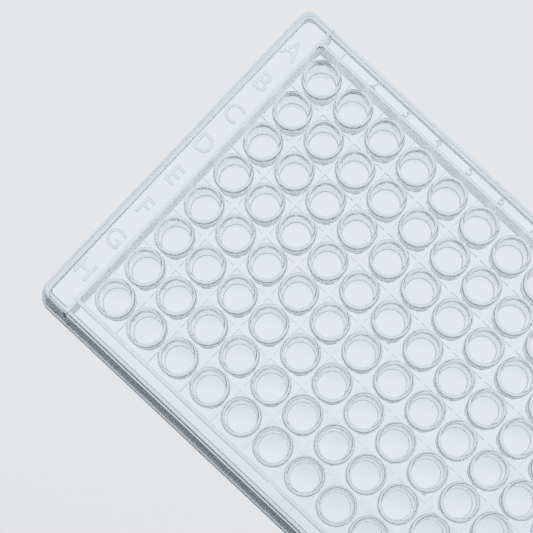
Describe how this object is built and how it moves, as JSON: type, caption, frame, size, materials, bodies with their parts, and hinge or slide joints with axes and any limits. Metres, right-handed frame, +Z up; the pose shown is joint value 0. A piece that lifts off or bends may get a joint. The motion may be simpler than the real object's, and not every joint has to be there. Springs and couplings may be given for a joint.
{
  "type": "well plate",
  "caption": "Clear moulded flat-bottom well plate: open round wells in a sunk deck inside a hollow, flanged frame with raised row letters and column numbers.",
  "frame": {"origin": "middle of the underside of the base flange", "axes": "+X along the rows towards column 12, +Y along the columns towards row A, +Z up out of the wells"},
  "size_m": [0.1278, 0.0854, 0.0145],
  "materials": {
    "clear_polystyrene": "clear, moulded against polished steel"
  },
  "bodies": {
    "root": {"plate": "clear_polystyrene"}
  },
  "joints": []
}
